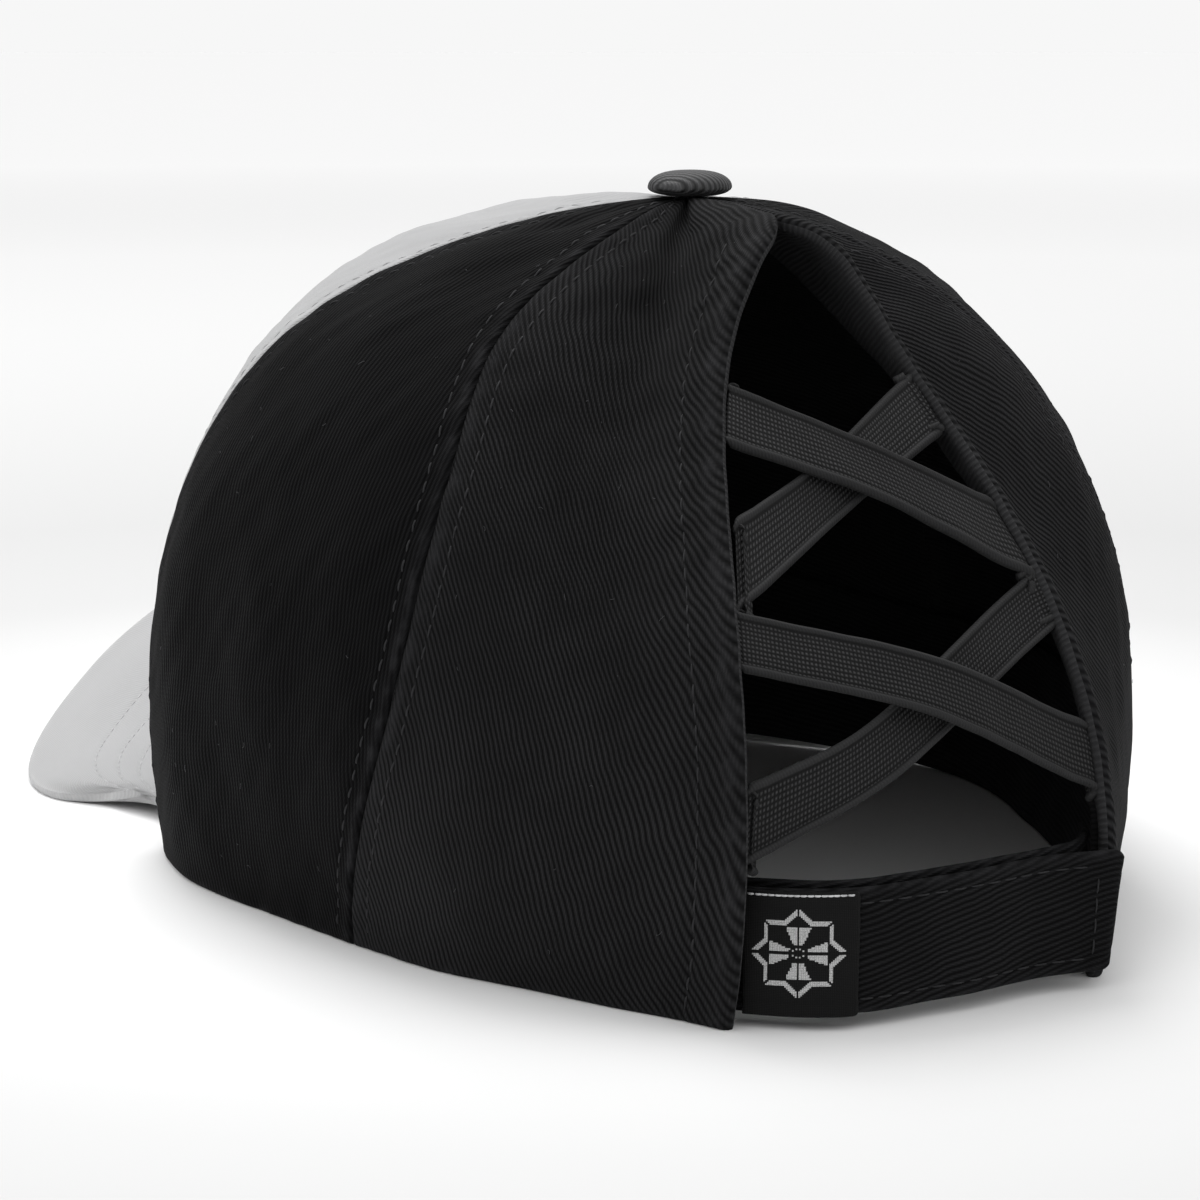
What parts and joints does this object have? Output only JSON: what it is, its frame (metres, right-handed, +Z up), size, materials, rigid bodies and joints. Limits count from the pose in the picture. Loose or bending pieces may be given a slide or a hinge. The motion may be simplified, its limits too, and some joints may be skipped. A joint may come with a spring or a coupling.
{
  "type": "ponytail baseball cap",
  "caption": "Soft panelled cap with a curved peak, a tall rear opening crossed by elastic bands for a ponytail, and a closure strap.",
  "frame": {"origin": "on the ground under the middle of the whole cap's width and length, as it stands on its rim and peak", "axes": "+Z up, -Y the way the peak points, +X the wearer's left"},
  "size_m": [0.1752, 0.263, 0.1186],
  "materials": {
    "black_twill": "matt black cotton twill",
    "grey_twill": "matt light grey cotton twill",
    "elastic": "ribbed black woven elastic",
    "woven_label": "black woven label with a plain white woven pattern"
  },
  "bodies": {
    "root": {"front_panel_left": "grey_twill", "front_panel_right": "grey_twill", "side_panel_left": "black_twill", "side_panel_right": "black_twill", "rear_panel_left": "black_twill", "rear_panel_right": "black_twill", "peak": "grey_twill", "button": "black_twill", "elastic_upper_outer": "elastic", "elastic_upper_inner": "elastic", "elastic_lower_outer": "elastic", "elastic_lower_inner": "elastic", "closure_strap": "black_twill", "closure_tab": "black_twill", "label": "woven_label", "sweatband": "black_twill"}
  },
  "joints": []
}
